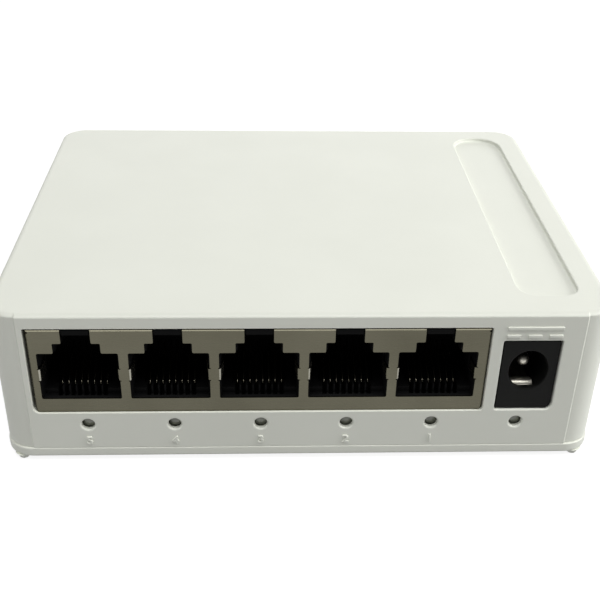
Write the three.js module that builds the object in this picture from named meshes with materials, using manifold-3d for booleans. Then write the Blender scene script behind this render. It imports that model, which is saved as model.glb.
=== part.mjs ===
// Desktop network switch with five jacks, modelled in millimetres.
// Frame: origin at the middle of the footprint on the surface it stands on, +Z up,
// the jacks face -Y, and the power inlet is at the +X end of the front.
import * as THREE from 'three';
import { mergeVertices } from 'three/addons/utils/BufferGeometryUtils.js';
import Module from 'manifold-3d';

const wasm = await Module();
wasm.setup();

// ---------------------------------------------------------------- driving dimensions

const CASE = { width: 96.6, depth: 75.6, height: 28, corner: 4.5, wall: 1.8, ceiling: 1.7 };
const FOOT = { height: 0.9, x: 45.6, y: 36.2, radius: 1.2, rooted: 0.5 };
const SEAM_Z = 2.65;
const SEAM_GAP = 0.1;
const PANEL = { halfWidth: 43.7, proud: 0.25 };
const EDGE = { top: 1.0, bottom: 0.4 };
const RECESS = {
  left: 34.2, right: 43.9, front: -31.9, rear: 33.4, depth: 0.7, rearRadius: 4.6, frontRadius: 2.6,
};
const LIP = { inset: 2.1, thickness: 1, rise: 1.5 };
const HOOK = {
  x: [-27.4, 0.2, 27.9], halfWidth: 2.5, catchHalfWidth: 2, topZ: 6.4, catchZ: 5.4, catchDepth: 0.7,
};
const VENTS = { rowsY: [-6, 8], eachSide: 3, pitch: 5, halfWidth: 0.9, halfLength: 4.4, radius: 0.8 };

const PORTS = 5;
const PORT_PITCH = 13.97;
const JACK = {
  thirdX: -6.9, left: -42.35, right: 29.0, faceY: -37.45, rearY: -19.6,
  skirtZ: 9.9, bottomZ: 10.45, topZ: 25.33, sheet: 0.3, gap: 0.35,
};
const WINDOW = {
  halfWidth: 6.2, bottomZ: 12.35, topZ: 20.98, shoulder: 3.65, shoulderZ: 22.79, notch: 2.27,
};
const NOTCH_DEPTH = 2.3;
const HOUSING = { halfWidth: 6.75, rearY: -20.5 };
const CAVITY = {
  halfWidth: 5.95, topZ: 20.9, shoulder: 3.35, shoulderZ: 22.6, notch: 2.2, notchZ: 24.4,
  rearY: -26.2, frontFloorZ: 12.4, rearFloorZ: 12.3, rearFloorHalfWidth: 4.5,
};
const SILL = { frontY: -36.0, rearY: -34.5, topZ: 13.7, slotHalfWidth: 0.3, slotFloorZ: 12.7 };
const LATCH_BAR = { halfWidth: 2.1, frontY: -37.35, rearY: -35.45, bottomZ: 24.4, topZ: 25.23 };
const CONTACTS = {
  count: 8, pitch: 1.016, width: 0.4, thickness: 0.3, pivotY: -33.6, pivotZ: 13.0, pivotRadius: 0.4,
};

const DC = {
  centreX: 35.6, width: 9.0, bottomZ: 10.45, topZ: 23.0, rearY: -23.1, gap: 0.25,
  boreZ: 17.7, boreRadius: 3.3, boreRearY: -26.5, radii: [0.3, 1.0, 0.3, 0.3],
};
const DC_PIN = { radius: 1.0, tipY: -34.7, rearY: -22.3, tabHalfWidth: 1.3, tabThickness: 0.4 };
const DC_LEAF_SLOT = { side: 0.3, frontSkin: 0.8, rearY: -24.6, bottomZ: 12.2, topZ: 15.2 };
const DC_LEAF = { left: -2.6, right: 0.9, pivotY: -25.6, pivotZ: 13.9, pivotRadius: 0.5, thickness: 0.3 };

const LED = { pitch: 13.82, thirdX: -6.7, holeZ: 7.4, holeRadius: 1.1 };

const BOARD = {
  halfWidth: 44.2, frontY: -35.5, rearY: 21, topZ: 10.2, thickness: 1.6, corner: 1, screwHole: 1.6,
};
const BOARD_SCREW = { x: 36, y: 15, shankRadius: 1.2, headRadius: 2.5, headHeight: 1.6, length: 7 };
const CASE_SCREW = { x: 41, y: 30.5, shankRadius: 1.2, headRadius: 2.7, headHeight: 2.0, length: 9 };
const SCREW_HOLE_SLACK = 0.15;
const STANDOFF = { radius: 2.6, holeBottomZ: 3.2 };
const FRONT_SUPPORT = { x: 38, y: -24 };
const BOSS = { radius: 2.9, bottomZ: 7.3, holeTopZ: 18 };
const WELL = { outerRadius: 4.4, innerRadius: 3.1, seatZ: 4.9, topZ: 7, shankHoleRadius: 1.7 };
const CLEARANCE = 0.05;
const OVERCUT = 1;

const CHIP_Z = 10.35;
const TRANSFORMER = {
  y: -12.8, width: 12.6, depth: 7, topZ: 15.9, taper: 0.25,
  leads: { count: 8, pitch: 1.27, width: 0.4, shoulderZ: 12.2, reach: 1.4 },
};
const SWITCH_CHIP = {
  x: -6.9, y: 5, side: 7, topZ: 11.75, taper: 0.15,
  leads: { count: 8, pitch: 0.8, width: 0.35, shoulderZ: 11, reach: 1.0 },
};
const REGULATOR = {
  x: 26.5, y: -4, width: 4.9, depth: 3.9, topZ: 11.9, taper: 0.15,
  leads: { count: 4, pitch: 1.27, width: 0.42, shoulderZ: 11.1, reach: 1.05 },
};
const LEAD_THICKNESS = 0.16;
const CRYSTAL = {
  x: 6.5, y: 9, halfLength: 5.1, halfWidth: 1.85, height: 3.4, flange: 0.45, flangeHeight: 0.5,
};
const DIODE = {
  x: 30.4, y: -9.8, width: 4.3, depth: 2.6, height: 2.2, tabReach: 2.6, tabHalfWidth: 0.7, tabHeight: 1.2,
};
const INDUCTOR = {
  x: 36, y: -4.5, halfWidth: 2.9, corner: 0.8, coreRadius: 2.4, height: 3.9, flange: 0.85,
};
const CAN = { radius: 3.15, height: 7.6, inX: 35.8, inY: -14.5, outX: 36, outY: 4.5, grooveDepth: 0.25 };
const LED_PACKAGE = {
  halfWidth: 1.5, frontY: -34.9, rearY: -33.6, height: 1.2, lensRadius: 0.5, lensY: -35.35,
};

const HALF_W = CASE.width / 2;
const HALF_D = CASE.depth / 2;
const CEILING_Z = CASE.height - CASE.ceiling;
const BOARD_BOTTOM_Z = BOARD.topZ - BOARD.thickness;
const ON_BOARD_Z = BOARD.topZ + CLEARANCE;

// ---------------------------------------------------------------- materials

const finish = (color, roughness, metalness) => (
  new THREE.MeshStandardMaterial({ color, roughness, metalness }));
const plastic = (color, roughness = 0.5) => finish(color, roughness, 0);
const metal = (color, roughness = 0.35) => finish(color, roughness, 1);

const MATERIALS = {
  caseWhite: plastic(0xe8ebe3, 0.55),
  nickel: metal(0xa8a493, 0.35),
  black: plastic(0x101010, 0.45),
  gold: metal(0xc9a552, 0.3),
  board: plastic(0x1d5a34, 0.45),
  chip: plastic(0x1c1c1e, 0.5),
  ledLens: plastic(0xdfe6c8, 0.25),
  steel: metal(0x9a9a98, 0.35),
  aluminium: metal(0xb9bbbd, 0.4),
};

// ---------------------------------------------------------------- solids

function solidOf(geometry) {
  geometry.deleteAttribute('normal');
  geometry.deleteAttribute('uv');
  const merged = mergeVertices(geometry, 1e-4);
  return new wasm.Manifold(new wasm.Mesh({
    numProp: 3,
    vertProperties: Float32Array.from(merged.attributes.position.array),
    triVerts: Uint32Array.from(merged.index.array),
  }));
}

function geometryOf(solid) {
  const mesh = solid.getMesh();
  const geometry = new THREE.BufferGeometry();
  geometry.setAttribute('position', new THREE.BufferAttribute(Float32Array.from(mesh.vertProperties), 3));
  geometry.setIndex(new THREE.BufferAttribute(Uint32Array.from(mesh.triVerts), 1));
  geometry.computeVertexNormals();
  return geometry;
}

function box(x0, x1, y0, y1, z0, z1) {
  const geometry = new THREE.BoxGeometry(x1 - x0, y1 - y0, z1 - z0);
  return solidOf(geometry.translate((x0 + x1) / 2, (y0 + y1) / 2, (z0 + z1) / 2));
}

function verticalCylinder(x, y, radius, z0, z1, segments = 24) {
  const geometry = new THREE.CylinderGeometry(radius, radius, z1 - z0, segments).rotateX(Math.PI / 2);
  return solidOf(geometry.translate(x, y, (z0 + z1) / 2));
}

function depthCylinder(x, z, radius, y0, y1, segments = 24) {
  const geometry = new THREE.CylinderGeometry(radius, radius, y1 - y0, segments);
  return solidOf(geometry.translate(x, (y0 + y1) / 2, z));
}

function crossCylinder(y, z, radius, x0, x1, segments = 12) {
  const geometry = new THREE.CylinderGeometry(radius, radius, x1 - x0, segments).rotateZ(Math.PI / 2);
  return solidOf(geometry.translate((x0 + x1) / 2, y, z));
}

// A rectangle with its own radius at each corner: low-left, low-right, high-right, high-left.
function roundedRectangle(x0, x1, y0, y1, radii) {
  const four = Array.isArray(radii) ? radii : [radii, radii, radii, radii];
  const [lowLeft, lowRight, highRight, highLeft] = four;
  const quarter = Math.PI / 2;
  const shape = new THREE.Shape();
  shape.absarc(x0 + lowLeft, y0 + lowLeft, lowLeft, -2 * quarter, -quarter);
  shape.absarc(x1 - lowRight, y0 + lowRight, lowRight, -quarter, 0);
  shape.absarc(x1 - highRight, y1 - highRight, highRight, 0, quarter);
  shape.absarc(x0 + highLeft, y1 - highLeft, highLeft, quarter, 2 * quarter);
  shape.closePath();
  return shape;
}

// A shape drawn in X and Y, extruded along Z.
function extrudeUp(shape, z0, z1, curveSegments = 3) {
  const geometry = new THREE.ExtrudeGeometry(shape, { depth: z1 - z0, bevelEnabled: false, curveSegments });
  return solidOf(geometry.translate(0, 0, z0));
}

// A shape drawn in X and Z, extruded along Y.
function extrudeDeep(shape, y0, y1, curveSegments = 3) {
  const geometry = new THREE.ExtrudeGeometry(shape, { depth: y1 - y0, bevelEnabled: false, curveSegments });
  return solidOf(geometry.rotateX(Math.PI / 2).translate(0, y1, 0));
}

// A shape drawn in Y and Z, extruded along X.
const ACROSS = new THREE.Matrix4().makeBasis(
  new THREE.Vector3(0, 1, 0), new THREE.Vector3(0, 0, 1), new THREE.Vector3(1, 0, 0));

function extrudeAcross(shape, x0, x1, curveSegments = 3) {
  const geometry = new THREE.ExtrudeGeometry(shape, { depth: x1 - x0, bevelEnabled: false, curveSegments });
  return solidOf(geometry.applyMatrix4(ACROSS).translate(x0, 0, 0));
}

// The outline of a bent strip of even thickness along a path of [y, z] points.
function stripShape(path, thickness) {
  const points = path.map(([y, z]) => new THREE.Vector2(y, z));
  const sides = points.map((point, i) => {
    const before = points[Math.max(i - 1, 0)];
    const after = points[Math.min(i + 1, points.length - 1)];
    const along = after.clone().sub(before).normalize();
    return new THREE.Vector2(-along.y, along.x).multiplyScalar(thickness / 2);
  });
  const upper = points.map((point, i) => point.clone().add(sides[i]));
  const lower = points.map((point, i) => point.clone().sub(sides[i]));
  return new THREE.Shape([...lower, ...upper.reverse()]);
}

const join = (...solids) => solids.reduce((whole, solid) => whole.add(solid));
const cut = (body, ...tools) => tools.reduce((rest, tool) => rest.subtract(tool), body);

const assembly = new THREE.Group();

function piece(name, solid, material) {
  const mesh = new THREE.Mesh(geometryOf(solid), material);
  mesh.name = name;
  assembly.add(mesh);
}

// ---------------------------------------------------------------- case

const portX = (port) => JACK.thirdX + (3 - port) * PORT_PITCH;
const linkLedX = (port) => LED.thirdX + (3 - port) * LED.pitch;
const POWER_LED_X = linkLedX(0);

// The case's plan, moved outwards by margin (inwards if it is negative), between two heights.
function slab(margin, z0, z1) {
  const corner = CASE.corner + margin;
  return extrudeUp(roundedRectangle(
    -HALF_W - margin, HALF_W + margin, -HALF_D - margin, HALF_D + margin, corner), z0, z1);
}

function coverOutside() {
  const outline = roundedRectangle(-HALF_W, HALF_W, -HALF_D + PANEL.proud, HALF_D, CASE.corner);
  const shell = new THREE.ExtrudeGeometry(outline, {
    depth: CASE.height - SEAM_Z - EDGE.top,
    bevelEnabled: true,
    bevelThickness: EDGE.top,
    bevelSize: EDGE.top,
    bevelOffset: -EDGE.top,
    bevelSegments: 3,
    curveSegments: 3,
  }).translate(0, 0, SEAM_Z);
  const panel = roundedRectangle(-HALF_D, 0, SEAM_Z, CASE.height, [0.01, 0.01, 0.01, EDGE.top]);
  const whole = join(solidOf(shell), extrudeAcross(panel, -PANEL.halfWidth, PANEL.halfWidth));
  return cut(whole, slab(OVERCUT, SEAM_Z - 2 * EDGE.top, SEAM_Z + SEAM_GAP));
}

function topCover() {
  const jackOpening = roundedRectangle(
    JACK.left - JACK.gap, JACK.right + JACK.gap,
    JACK.skirtZ - JACK.gap, JACK.topZ + JACK.gap, [1.1, 1.1, 0.3, 0.3]);
  const dcOpening = roundedRectangle(
    DC.centreX - DC.width / 2 - DC.gap, DC.centreX + DC.width / 2 + DC.gap,
    DC.bottomZ - DC.gap, DC.topZ + DC.gap, DC.radii);
  const recess = roundedRectangle(
    RECESS.left, RECESS.right, RECESS.front, RECESS.rear,
    [RECESS.frontRadius, RECESS.frontRadius, RECESS.rearRadius, RECESS.rearRadius]);
  const frontWall = [-HALF_D - OVERCUT, -HALF_D + CASE.wall + 0.5];
  const hookSlot = (x) => box(
    x - HOOK.catchHalfWidth - 0.3, x + HOOK.catchHalfWidth + 0.3,
    -HALF_D + LIP.inset - HOOK.catchDepth - 0.3, -HALF_D + CASE.wall + 0.1,
    HOOK.catchZ - 0.3, HOOK.topZ + 0.3);
  const holes = [
    extrudeDeep(jackOpening, ...frontWall),
    extrudeDeep(dcOpening, ...frontWall),
    extrudeUp(recess, CASE.height - RECESS.depth, CASE.height + OVERCUT),
    ...[0, 1, 2, 3, 4, 5].map((port) => depthCylinder(
      linkLedX(port), LED.holeZ, LED.holeRadius, ...frontWall, 20)),
    ...HOOK.x.map(hookSlot),
  ];
  let cover = cut(coverOutside(), slab(-CASE.wall, SEAM_Z - OVERCUT, CEILING_Z), ...holes);
  for (const side of [-1, 1]) {
    const screwAxis = [side * CASE_SCREW.x, CASE_SCREW.y];
    const holeRadius = CASE_SCREW.shankRadius + SCREW_HOLE_SLACK;
    cover = cover.add(cut(
      verticalCylinder(...screwAxis, BOSS.radius, BOSS.bottomZ, CEILING_Z + 0.4),
      verticalCylinder(...screwAxis, holeRadius, BOSS.bottomZ - OVERCUT, BOSS.holeTopZ, 16)));
  }
  return cover;
}

function trayFeet() {
  const stud = (x, y) => verticalCylinder(x, y, FOOT.radius, 0, FOOT.height + FOOT.rooted, 16);
  return [-1, 1].flatMap((side) => [stud(side * FOOT.x, -FOOT.y), stud(side * FOOT.x, FOOT.y)]);
}

function bottomCover() {
  const outline = roundedRectangle(-HALF_W, HALF_W, -HALF_D, HALF_D, CASE.corner);
  const plate = new THREE.ExtrudeGeometry(outline, {
    depth: SEAM_Z - FOOT.height - EDGE.bottom + OVERCUT,
    bevelEnabled: true,
    bevelThickness: EDGE.bottom,
    bevelSize: EDGE.bottom,
    bevelOffset: -EDGE.bottom,
    bevelSegments: 1,
    curveSegments: 3,
  }).translate(0, 0, FOOT.height + EDGE.bottom);
  const rootZ = SEAM_Z - 0.65;
  const lipInner = LIP.inset + LIP.thickness;
  const lip = cut(
    slab(-LIP.inset, rootZ, SEAM_Z + LIP.rise),
    slab(-lipInner, rootZ - OVERCUT, SEAM_Z + LIP.rise + OVERCUT));
  const hook = (x) => join(
    box(x - HOOK.halfWidth, x + HOOK.halfWidth,
      -HALF_D + LIP.inset, -HALF_D + lipInner + 0.2, rootZ, HOOK.topZ),
    box(x - HOOK.catchHalfWidth, x + HOOK.catchHalfWidth,
      -HALF_D + LIP.inset - HOOK.catchDepth, -HALF_D + LIP.inset + 0.1, HOOK.catchZ, HOOK.topZ));
  const standoff = ({ x, y }, side) =>
    verticalCylinder(side * x, y, STANDOFF.radius, rootZ, BOARD_BOTTOM_Z - CLEARANCE);
  let tray = join(
    cut(solidOf(plate), slab(OVERCUT, SEAM_Z, SEAM_Z + 2 * OVERCUT)),
    ...trayFeet(), lip, ...HOOK.x.map(hook));
  for (const side of [-1, 1]) {
    const caseScrew = [side * CASE_SCREW.x, CASE_SCREW.y];
    const boardScrew = [side * BOARD_SCREW.x, BOARD_SCREW.y];
    const well = verticalCylinder(...caseScrew, WELL.outerRadius, rootZ, WELL.topZ);
    const boardHole = BOARD_SCREW.shankRadius + SCREW_HOLE_SLACK;
    tray = cut(
      join(tray, well, standoff(FRONT_SUPPORT, side), standoff(BOARD_SCREW, side)),
      verticalCylinder(...caseScrew, WELL.innerRadius, 0, WELL.seatZ),
      verticalCylinder(...caseScrew, WELL.shankHoleRadius, WELL.seatZ - OVERCUT, WELL.topZ + OVERCUT, 16),
      verticalCylinder(...boardScrew, boardHole, STANDOFF.holeBottomZ, BOARD_BOTTOM_Z + OVERCUT, 16));
  }
  const vents = [];
  for (const y of VENTS.rowsY) {
    for (let i = -VENTS.eachSide; i <= VENTS.eachSide; i += 1) {
      const x = i * VENTS.pitch;
      const slot = roundedRectangle(
        x - VENTS.halfWidth, x + VENTS.halfWidth, y - VENTS.halfLength, y + VENTS.halfLength, VENTS.radius);
      vents.push(extrudeUp(slot, 0, SEAM_Z + OVERCUT, 1));
    }
  }
  return cut(tray, ...vents);
}

piece('top_cover', topCover(), MATERIALS.caseWhite);
piece('bottom_cover', bottomCover(), MATERIALS.caseWhite);

// ---------------------------------------------------------------- screws

// A pan-head screw along Z, its head's bearing face at z = 0 and its shank below.
function screwSolid({ headRadius, headHeight, shankRadius, length }) {
  const profile = [
    [0, -length], [shankRadius * 0.5, -length], [shankRadius, -length + 1], [shankRadius, 0],
    [headRadius, 0], [headRadius, headHeight * 0.55], [headRadius * 0.72, headHeight], [0, headHeight],
  ].map(([x, y]) => new THREE.Vector2(x, y));
  const body = solidOf(new THREE.LatheGeometry(profile, 16).rotateX(Math.PI / 2));
  const arm = headRadius * 0.55;
  const half = 0.3;
  const floor = headHeight * 0.45;
  return cut(body,
    box(-arm, arm, -half, half, floor, headHeight + 1), box(-half, half, -arm, arm, floor, headHeight + 1));
}

for (const [side, sign] of [['left', -1], ['right', 1]]) {
  const up = screwSolid(BOARD_SCREW).translate(sign * BOARD_SCREW.x, BOARD_SCREW.y, ON_BOARD_Z);
  piece(`board_screw_${side}`, up, MATERIALS.steel);
  const down = screwSolid(CASE_SCREW).rotate([180, 0, 0]);
  const seat = WELL.seatZ - CLEARANCE;
  piece(`case_screw_${side}`, down.translate(sign * CASE_SCREW.x, CASE_SCREW.y, seat), MATERIALS.steel);
}

// ---------------------------------------------------------------- network jacks

// The stepped opening for a plug: wide body, narrower shoulder, and the slot for its latch.
function steppedOpening(x, { halfWidth, topZ, shoulder, shoulderZ, notch }, bottomZ, notchZ, y0, y1) {
  return join(
    box(x - halfWidth, x + halfWidth, y0, y1, bottomZ, topZ),
    box(x - shoulder, x + shoulder, y0, y1, topZ - OVERCUT, shoulderZ),
    box(x - notch, x + notch, y0, y1, shoulderZ - OVERCUT, notchZ));
}

function jackShield() {
  const { left, right, sheet } = JACK;
  const front = JACK.faceY - OVERCUT;
  const skirt = box(left, right, JACK.faceY, JACK.faceY + sheet, JACK.skirtZ, JACK.bottomZ + OVERCUT);
  let shield = join(skirt, cut(
    box(left, right, JACK.faceY, JACK.rearY, JACK.bottomZ, JACK.topZ),
    box(left + sheet, right - sheet, JACK.faceY + sheet, JACK.rearY + OVERCUT,
      JACK.bottomZ - OVERCUT, JACK.topZ - sheet)));
  for (let port = 1; port <= PORTS; port += 1) {
    const x = portX(port);
    const roof = JACK.topZ + OVERCUT;
    shield = cut(shield,
      steppedOpening(x, WINDOW, WINDOW.bottomZ, roof, front, JACK.faceY + sheet + 0.5),
      box(x - WINDOW.notch, x + WINDOW.notch, front, JACK.faceY + NOTCH_DEPTH,
        JACK.topZ - 2 * sheet, roof));
  }
  return shield;
}

function portHousing(port) {
  const x = portX(port);
  const front = JACK.faceY + JACK.sheet + CLEARANCE;
  const ceiling = JACK.topZ - JACK.sheet - CLEARANCE;
  const mouth = front - OVERCUT;
  const aboveSill = SILL.topZ + OVERCUT;
  const { halfWidth, rearFloorHalfWidth } = CAVITY;
  let housing = cut(
    box(x - HOUSING.halfWidth, x + HOUSING.halfWidth, front, HOUSING.rearY, JACK.bottomZ, ceiling),
    steppedOpening(x, CAVITY, SILL.topZ, CAVITY.notchZ, mouth, CAVITY.rearY),
    box(x - halfWidth, x + halfWidth, mouth, SILL.frontY, CAVITY.frontFloorZ, aboveSill),
    box(x - rearFloorHalfWidth, x + rearFloorHalfWidth, SILL.rearY, CAVITY.rearY,
      CAVITY.rearFloorZ, aboveSill));
  housing = housing.add(box(
    x - LATCH_BAR.halfWidth, x + LATCH_BAR.halfWidth,
    LATCH_BAR.frontY, LATCH_BAR.rearY, LATCH_BAR.bottomZ, LATCH_BAR.topZ));
  for (let wire = 0; wire < CONTACTS.count; wire += 1) {
    const wireX = x + (wire - (CONTACTS.count - 1) / 2) * CONTACTS.pitch;
    housing = cut(housing, box(wireX - SILL.slotHalfWidth, wireX + SILL.slotHalfWidth,
      SILL.frontY - OVERCUT, SILL.rearY + OVERCUT, SILL.slotFloorZ, aboveSill));
  }
  return housing;
}

// Eight spring wires that rise from their hinge line behind the sill towards the back of the bay.
function portContacts(port) {
  const x = portX(port);
  const { pivotY, pivotZ, pivotRadius, width, thickness, count, pitch } = CONTACTS;
  const path = [
    [pivotY, pivotZ], [pivotY - 0.45, pivotZ + 0.55], [pivotY - 0.3, pivotZ + 0.95],
    [pivotY + 0.3, pivotZ + 1.15], [pivotY + 6.3, pivotZ + 3.7],
  ];
  const strip = stripShape(path, thickness);
  const bar = crossCylinder(pivotY, pivotZ, pivotRadius, x - 3.9, x + 3.9);
  const wires = [];
  for (let wire = 0; wire < count; wire += 1) {
    const wireX = x + (wire - (count - 1) / 2) * pitch;
    wires.push(extrudeAcross(strip, wireX - width / 2, wireX + width / 2));
  }
  return join(bar, ...wires);
}

piece('jack_shield', jackShield(), MATERIALS.nickel);
for (let port = 1; port <= PORTS; port += 1) {
  piece(`port_${port}_housing`, portHousing(port), MATERIALS.black);
  piece(`port_${port}_contacts`, portContacts(port), MATERIALS.gold);
}

// ---------------------------------------------------------------- power inlet

function dcJackBody() {
  const x = DC.centreX;
  const outline = roundedRectangle(x - DC.width / 2, x + DC.width / 2, DC.bottomZ, DC.topZ, DC.radii);
  return cut(
    extrudeDeep(outline, JACK.faceY, DC.rearY),
    depthCylinder(x, DC.boreZ, DC.boreRadius, JACK.faceY - OVERCUT, DC.boreRearY, 32),
    depthCylinder(x, DC.boreZ, DC_PIN.radius + CLEARANCE, DC.boreRearY - OVERCUT, DC.rearY + OVERCUT, 16),
    box(x + DC_LEAF.left - DC_LEAF_SLOT.side, x + DC_LEAF.right + DC_LEAF_SLOT.side,
      JACK.faceY + DC_LEAF_SLOT.frontSkin, DC_LEAF_SLOT.rearY, DC_LEAF_SLOT.bottomZ, DC_LEAF_SLOT.topZ));
}

function dcJackPin() {
  const { radius, tipY, rearY, tabHalfWidth, tabThickness } = DC_PIN;
  const profile = [
    [0, tipY], [radius * 0.5, tipY + 0.13], [radius * 0.87, tipY + 0.5], [radius, tipY + 1],
    [radius, DC.rearY + 0.1], [radius, rearY], [0, rearY],
  ].map(([r, y]) => new THREE.Vector2(r, y));
  const rod = solidOf(new THREE.LatheGeometry(profile, 16)).translate(DC.centreX, 0, DC.boreZ);
  return join(rod, box(
    DC.centreX - tabHalfWidth, DC.centreX + tabHalfWidth, rearY - tabThickness, rearY,
    ON_BOARD_Z, DC.boreZ + tabHalfWidth));
}

function dcJackSpring() {
  const { left, right, pivotY, pivotZ, pivotRadius, thickness } = DC_LEAF;
  const path = [
    [pivotY, pivotZ], [-33.4, 14.75], [-34.6, 15.0], [-35.4, 14.9], [-36.2, 14.2], [-36.3, 13.7],
  ].reverse();
  const leaf = extrudeAcross(stripShape(path, thickness), DC.centreX + left, DC.centreX + right);
  const root = crossCylinder(
    pivotY, pivotZ - 0.2, pivotRadius, DC.centreX + left, DC.centreX + right);
  return join(leaf, root);
}

piece('dc_jack_body', dcJackBody(), MATERIALS.black);
piece('dc_jack_pin', dcJackPin(), MATERIALS.nickel);
piece('dc_jack_spring', dcJackSpring(), MATERIALS.nickel);

// ---------------------------------------------------------------- circuit board and what is on it

function circuitBoard() {
  const outline = roundedRectangle(
    -BOARD.halfWidth, BOARD.halfWidth, BOARD.frontY, BOARD.rearY, BOARD.corner);
  const holes = [-1, 1].map((side) => verticalCylinder(
    side * BOARD_SCREW.x, BOARD_SCREW.y, BOARD.screwHole,
    BOARD_BOTTOM_Z - OVERCUT, BOARD.topZ + OVERCUT, 20));
  return cut(extrudeUp(outline, BOARD_BOTTOM_Z, BOARD.topZ, 2), ...holes);
}

// A moulded chip body with its sides tapered, standing on the board.
function chipBody(x, y, width, depth, z0, z1, taper) {
  const profile = new THREE.Shape();
  const middle = (z0 + z1) / 2;
  profile.moveTo(-depth / 2 + taper, z0);
  profile.lineTo(depth / 2 - taper, z0);
  profile.lineTo(depth / 2, middle);
  profile.lineTo(depth / 2 - taper, z1);
  profile.lineTo(-depth / 2 + taper, z1);
  profile.lineTo(-depth / 2, middle);
  profile.closePath();
  return extrudeAcross(profile, x - width / 2, x + width / 2).translate(0, y, 0);
}

// A row of gull-wing leads along X, leaving the body towards +Y or -Y.
function leadRow(x, bodyEdgeY, outward, { count, pitch, width, shoulderZ, reach }) {
  const soleZ = ON_BOARD_Z + LEAD_THICKNESS / 2;
  const path = [
    [-0.4, shoulderZ], [reach * 0.4, shoulderZ], [reach * 0.6, soleZ], [reach, soleZ],
  ].map(([along, height]) => [bodyEdgeY + outward * along, height]);
  const strip = stripShape(outward > 0 ? path : path.reverse(), LEAD_THICKNESS);
  const leads = [];
  for (let i = 0; i < count; i += 1) {
    const leadX = x + (i - (count - 1) / 2) * pitch;
    leads.push(extrudeAcross(strip, leadX - width / 2, leadX + width / 2));
  }
  return leads;
}

// A chip with a row of leads along its front and one along its rear.
function twoRowChip(x, { y, width, depth, topZ, taper, leads }) {
  return join(
    chipBody(x, y, width, depth, CHIP_Z, topZ, taper),
    ...leadRow(x, y - depth / 2, -1, leads), ...leadRow(x, y + depth / 2, 1, leads));
}

function switchChip() {
  const { x, y, side, topZ, taper, leads } = SWITCH_CHIP;
  const rows = () => [...leadRow(0, -side / 2, -1, leads), ...leadRow(0, side / 2, 1, leads)];
  const alongY = join(...rows()).rotate([0, 0, 90]);
  return join(chipBody(0, 0, side, side, CHIP_Z, topZ, taper), ...rows(), alongY).translate(x, y, 0);
}

function crystal() {
  const { x, y, halfLength, halfWidth, height, flange, flangeHeight } = CRYSTAL;
  const oval = (margin, top) => {
    const across = halfWidth + margin;
    const shape = roundedRectangle(
      x - halfLength - margin, x + halfLength + margin, y - across, y + across, across - 0.01);
    return extrudeUp(shape, ON_BOARD_Z, ON_BOARD_Z + top, 4);
  };
  return join(oval(flange, flangeHeight), oval(0, height));
}

// An aluminium capacitor: a can with the rolled groove near its base.
function capacitor(x, y) {
  const { radius, height, grooveDepth } = CAN;
  const profile = [
    [0, 0], [radius - 0.2, 0], [radius, 0.3], [radius, 1.1], [radius - grooveDepth, 1.4], [radius, 1.7],
    [radius, height - 0.4], [radius - 0.4, height], [0, height],
  ].map(([r, h]) => new THREE.Vector2(r, h));
  return solidOf(new THREE.LatheGeometry(profile, 20).rotateX(Math.PI / 2)).translate(x, y, ON_BOARD_Z);
}

function inductor() {
  const { x, y, halfWidth, corner, coreRadius, height, flange } = INDUCTOR;
  const outline = roundedRectangle(x - halfWidth, x + halfWidth, y - halfWidth, y + halfWidth, corner);
  const top = ON_BOARD_Z + height;
  return join(
    extrudeUp(outline, ON_BOARD_Z, ON_BOARD_Z + flange),
    verticalCylinder(x, y, coreRadius, ON_BOARD_Z, top),
    extrudeUp(outline, top - flange, top));
}

function inputDiode() {
  const { x, y, width, depth, height, tabReach, tabHalfWidth, tabHeight } = DIODE;
  return join(
    chipBody(x, y, width, depth, ON_BOARD_Z + 0.05, ON_BOARD_Z + height, 0.15),
    box(x - tabReach, x + tabReach, y - tabHalfWidth, y + tabHalfWidth,
      ON_BOARD_Z, ON_BOARD_Z + tabHeight));
}

// A side-view LED under the front edge of the board, its lens towards the hole in the case.
function ledUnderBoard(x) {
  const { halfWidth, frontY, rearY, height, lensRadius, lensY } = LED_PACKAGE;
  const top = BOARD_BOTTOM_Z - CLEARANCE;
  return join(
    box(x - halfWidth, x + halfWidth, frontY, rearY, top - height, top),
    depthCylinder(x, top - height / 2, lensRadius, lensY, frontY + 0.1, 12));
}

piece('circuit_board', circuitBoard(), MATERIALS.board);
for (let port = 1; port <= PORTS; port += 1) {
  piece(`transformer_${port}`, twoRowChip(portX(port), TRANSFORMER), MATERIALS.chip);
  piece(`link_led_${port}`, ledUnderBoard(linkLedX(port)), MATERIALS.ledLens);
}
piece('power_led', ledUnderBoard(POWER_LED_X), MATERIALS.ledLens);
piece('switch_chip', switchChip(), MATERIALS.chip);
piece('crystal', crystal(), MATERIALS.steel);
piece('inductor', inductor(), MATERIALS.chip);
piece('regulator_chip', twoRowChip(REGULATOR.x, REGULATOR), MATERIALS.chip);
piece('input_diode', inputDiode(), MATERIALS.chip);
piece('capacitor_in', capacitor(CAN.inX, CAN.inY), MATERIALS.aluminium);
piece('capacitor_out', capacitor(CAN.outX, CAN.outY), MATERIALS.aluminium);

export default assembly;
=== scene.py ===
"""Looks of a desktop network switch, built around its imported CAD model.

Shapes are drawn in millimetres in the CAD frame (+X to the power inlet, -Y the front, +Z up)
and scaled to metres when each piece is finished.
"""
import math

import bmesh
import bpy
from mathutils import Matrix, Vector


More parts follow.
